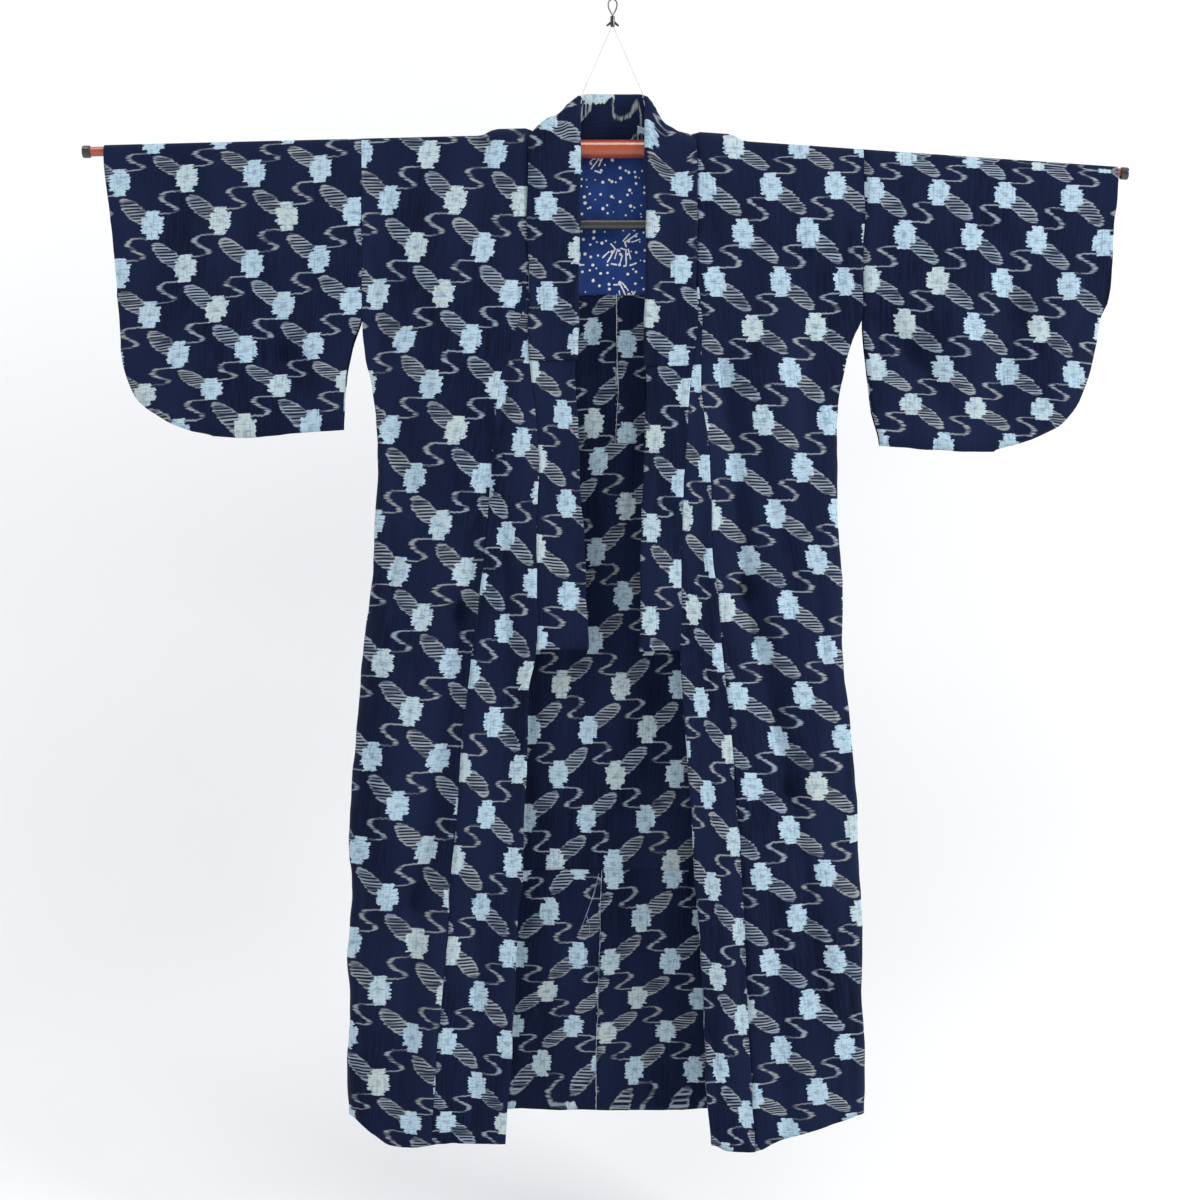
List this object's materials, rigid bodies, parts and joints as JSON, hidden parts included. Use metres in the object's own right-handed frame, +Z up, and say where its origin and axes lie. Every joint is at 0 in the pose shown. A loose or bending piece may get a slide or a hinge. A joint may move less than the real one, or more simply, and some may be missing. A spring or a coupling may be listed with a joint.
{
  "type": "cotton kimono on a hanger",
  "caption": "Unlined indigo cotton kimono with a woven kasuri pattern, hung open on a long kimono hanger that hangs by a string from a small hook.",
  "frame": {"origin": "inner top of the hook's wire loop, where the nail or peg that holds everything bears", "axes": "+Z up; -Y towards the viewer, the open front of the kimono; +X to the viewer's right, along the hanger"},
  "size_m": [1.3441, 0.082, 1.468],
  "materials": {
    "indigo_cotton": "matte woven cotton with a pale blue kasuri pattern",
    "blue_print_cotton": "matte cotton printed with white dots and needles",
    "red_brown_lacquer": "glossy red-brown coating",
    "black_plastic": "glossy black",
    "grey_wire": "dull grey wire",
    "pale_string": "twisted cotton string"
  },
  "bodies": {
    "root": {"left_body": "indigo_cotton", "right_body": "indigo_cotton", "left_front_gore": "indigo_cotton", "right_front_gore": "indigo_cotton", "left_sleeve": "indigo_cotton", "right_sleeve": "indigo_cotton", "collar": "indigo_cotton", "over_collar": "indigo_cotton", "neck_patch": "blue_print_cotton", "centre_tube": "red_brown_lacquer", "left_arm": "red_brown_lacquer", "right_arm": "red_brown_lacquer", "left_joint": "black_plastic", "right_joint": "black_plastic", "left_cap": "black_plastic", "right_cap": "black_plastic", "belt_bar": "black_plastic", "left_link": "black_plastic", "right_link": "black_plastic", "hook_anchor": "black_plastic", "wire_loop": "grey_wire", "left_string": "pale_string", "right_string": "pale_string"}
  },
  "joints": []
}
